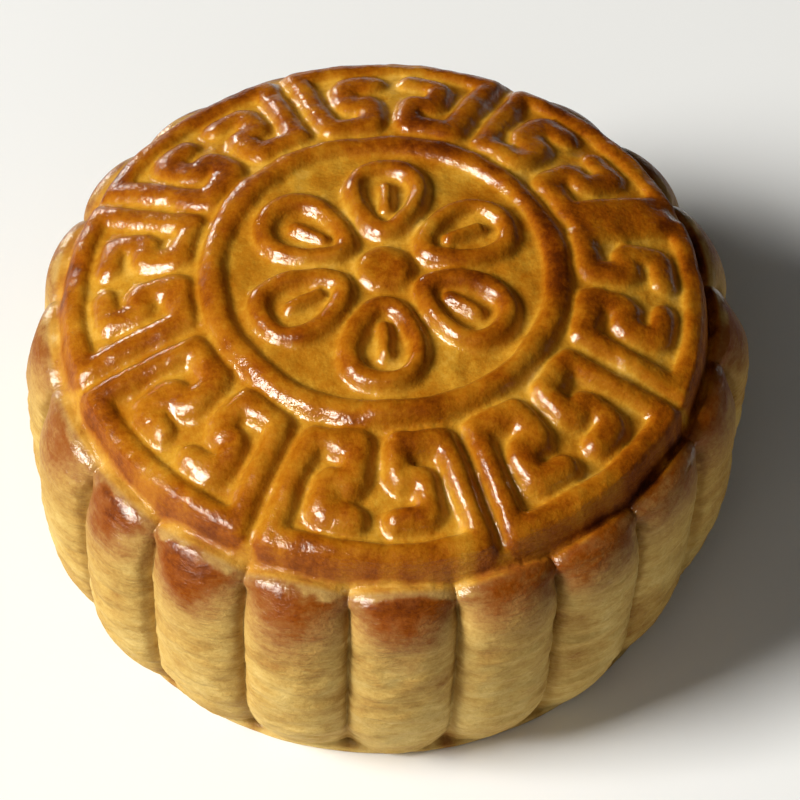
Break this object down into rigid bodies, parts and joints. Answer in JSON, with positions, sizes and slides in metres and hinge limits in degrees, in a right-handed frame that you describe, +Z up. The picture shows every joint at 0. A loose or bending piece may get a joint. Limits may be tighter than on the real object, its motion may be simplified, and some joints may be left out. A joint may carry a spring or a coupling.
{
  "type": "mooncake",
  "caption": "Round baked mooncake with a fluted side wall, a flat underside and a domed top, pressed with a key-fret border round a ring and a plain rosette.",
  "frame": {"origin": "middle of the flat underside, under the centre of the outline", "axes": "+Z up through the domed top; -Y towards the front, where one fret panel and one rosette petal point; +X to the right"},
  "size_m": [0.0756, 0.0752, 0.0402],
  "materials": {
    "baked_crust": "egg-washed baked crust, glossy on top and satin on the sides"
  },
  "bodies": {
    "root": {"mooncake": "baked_crust"}
  },
  "joints": []
}
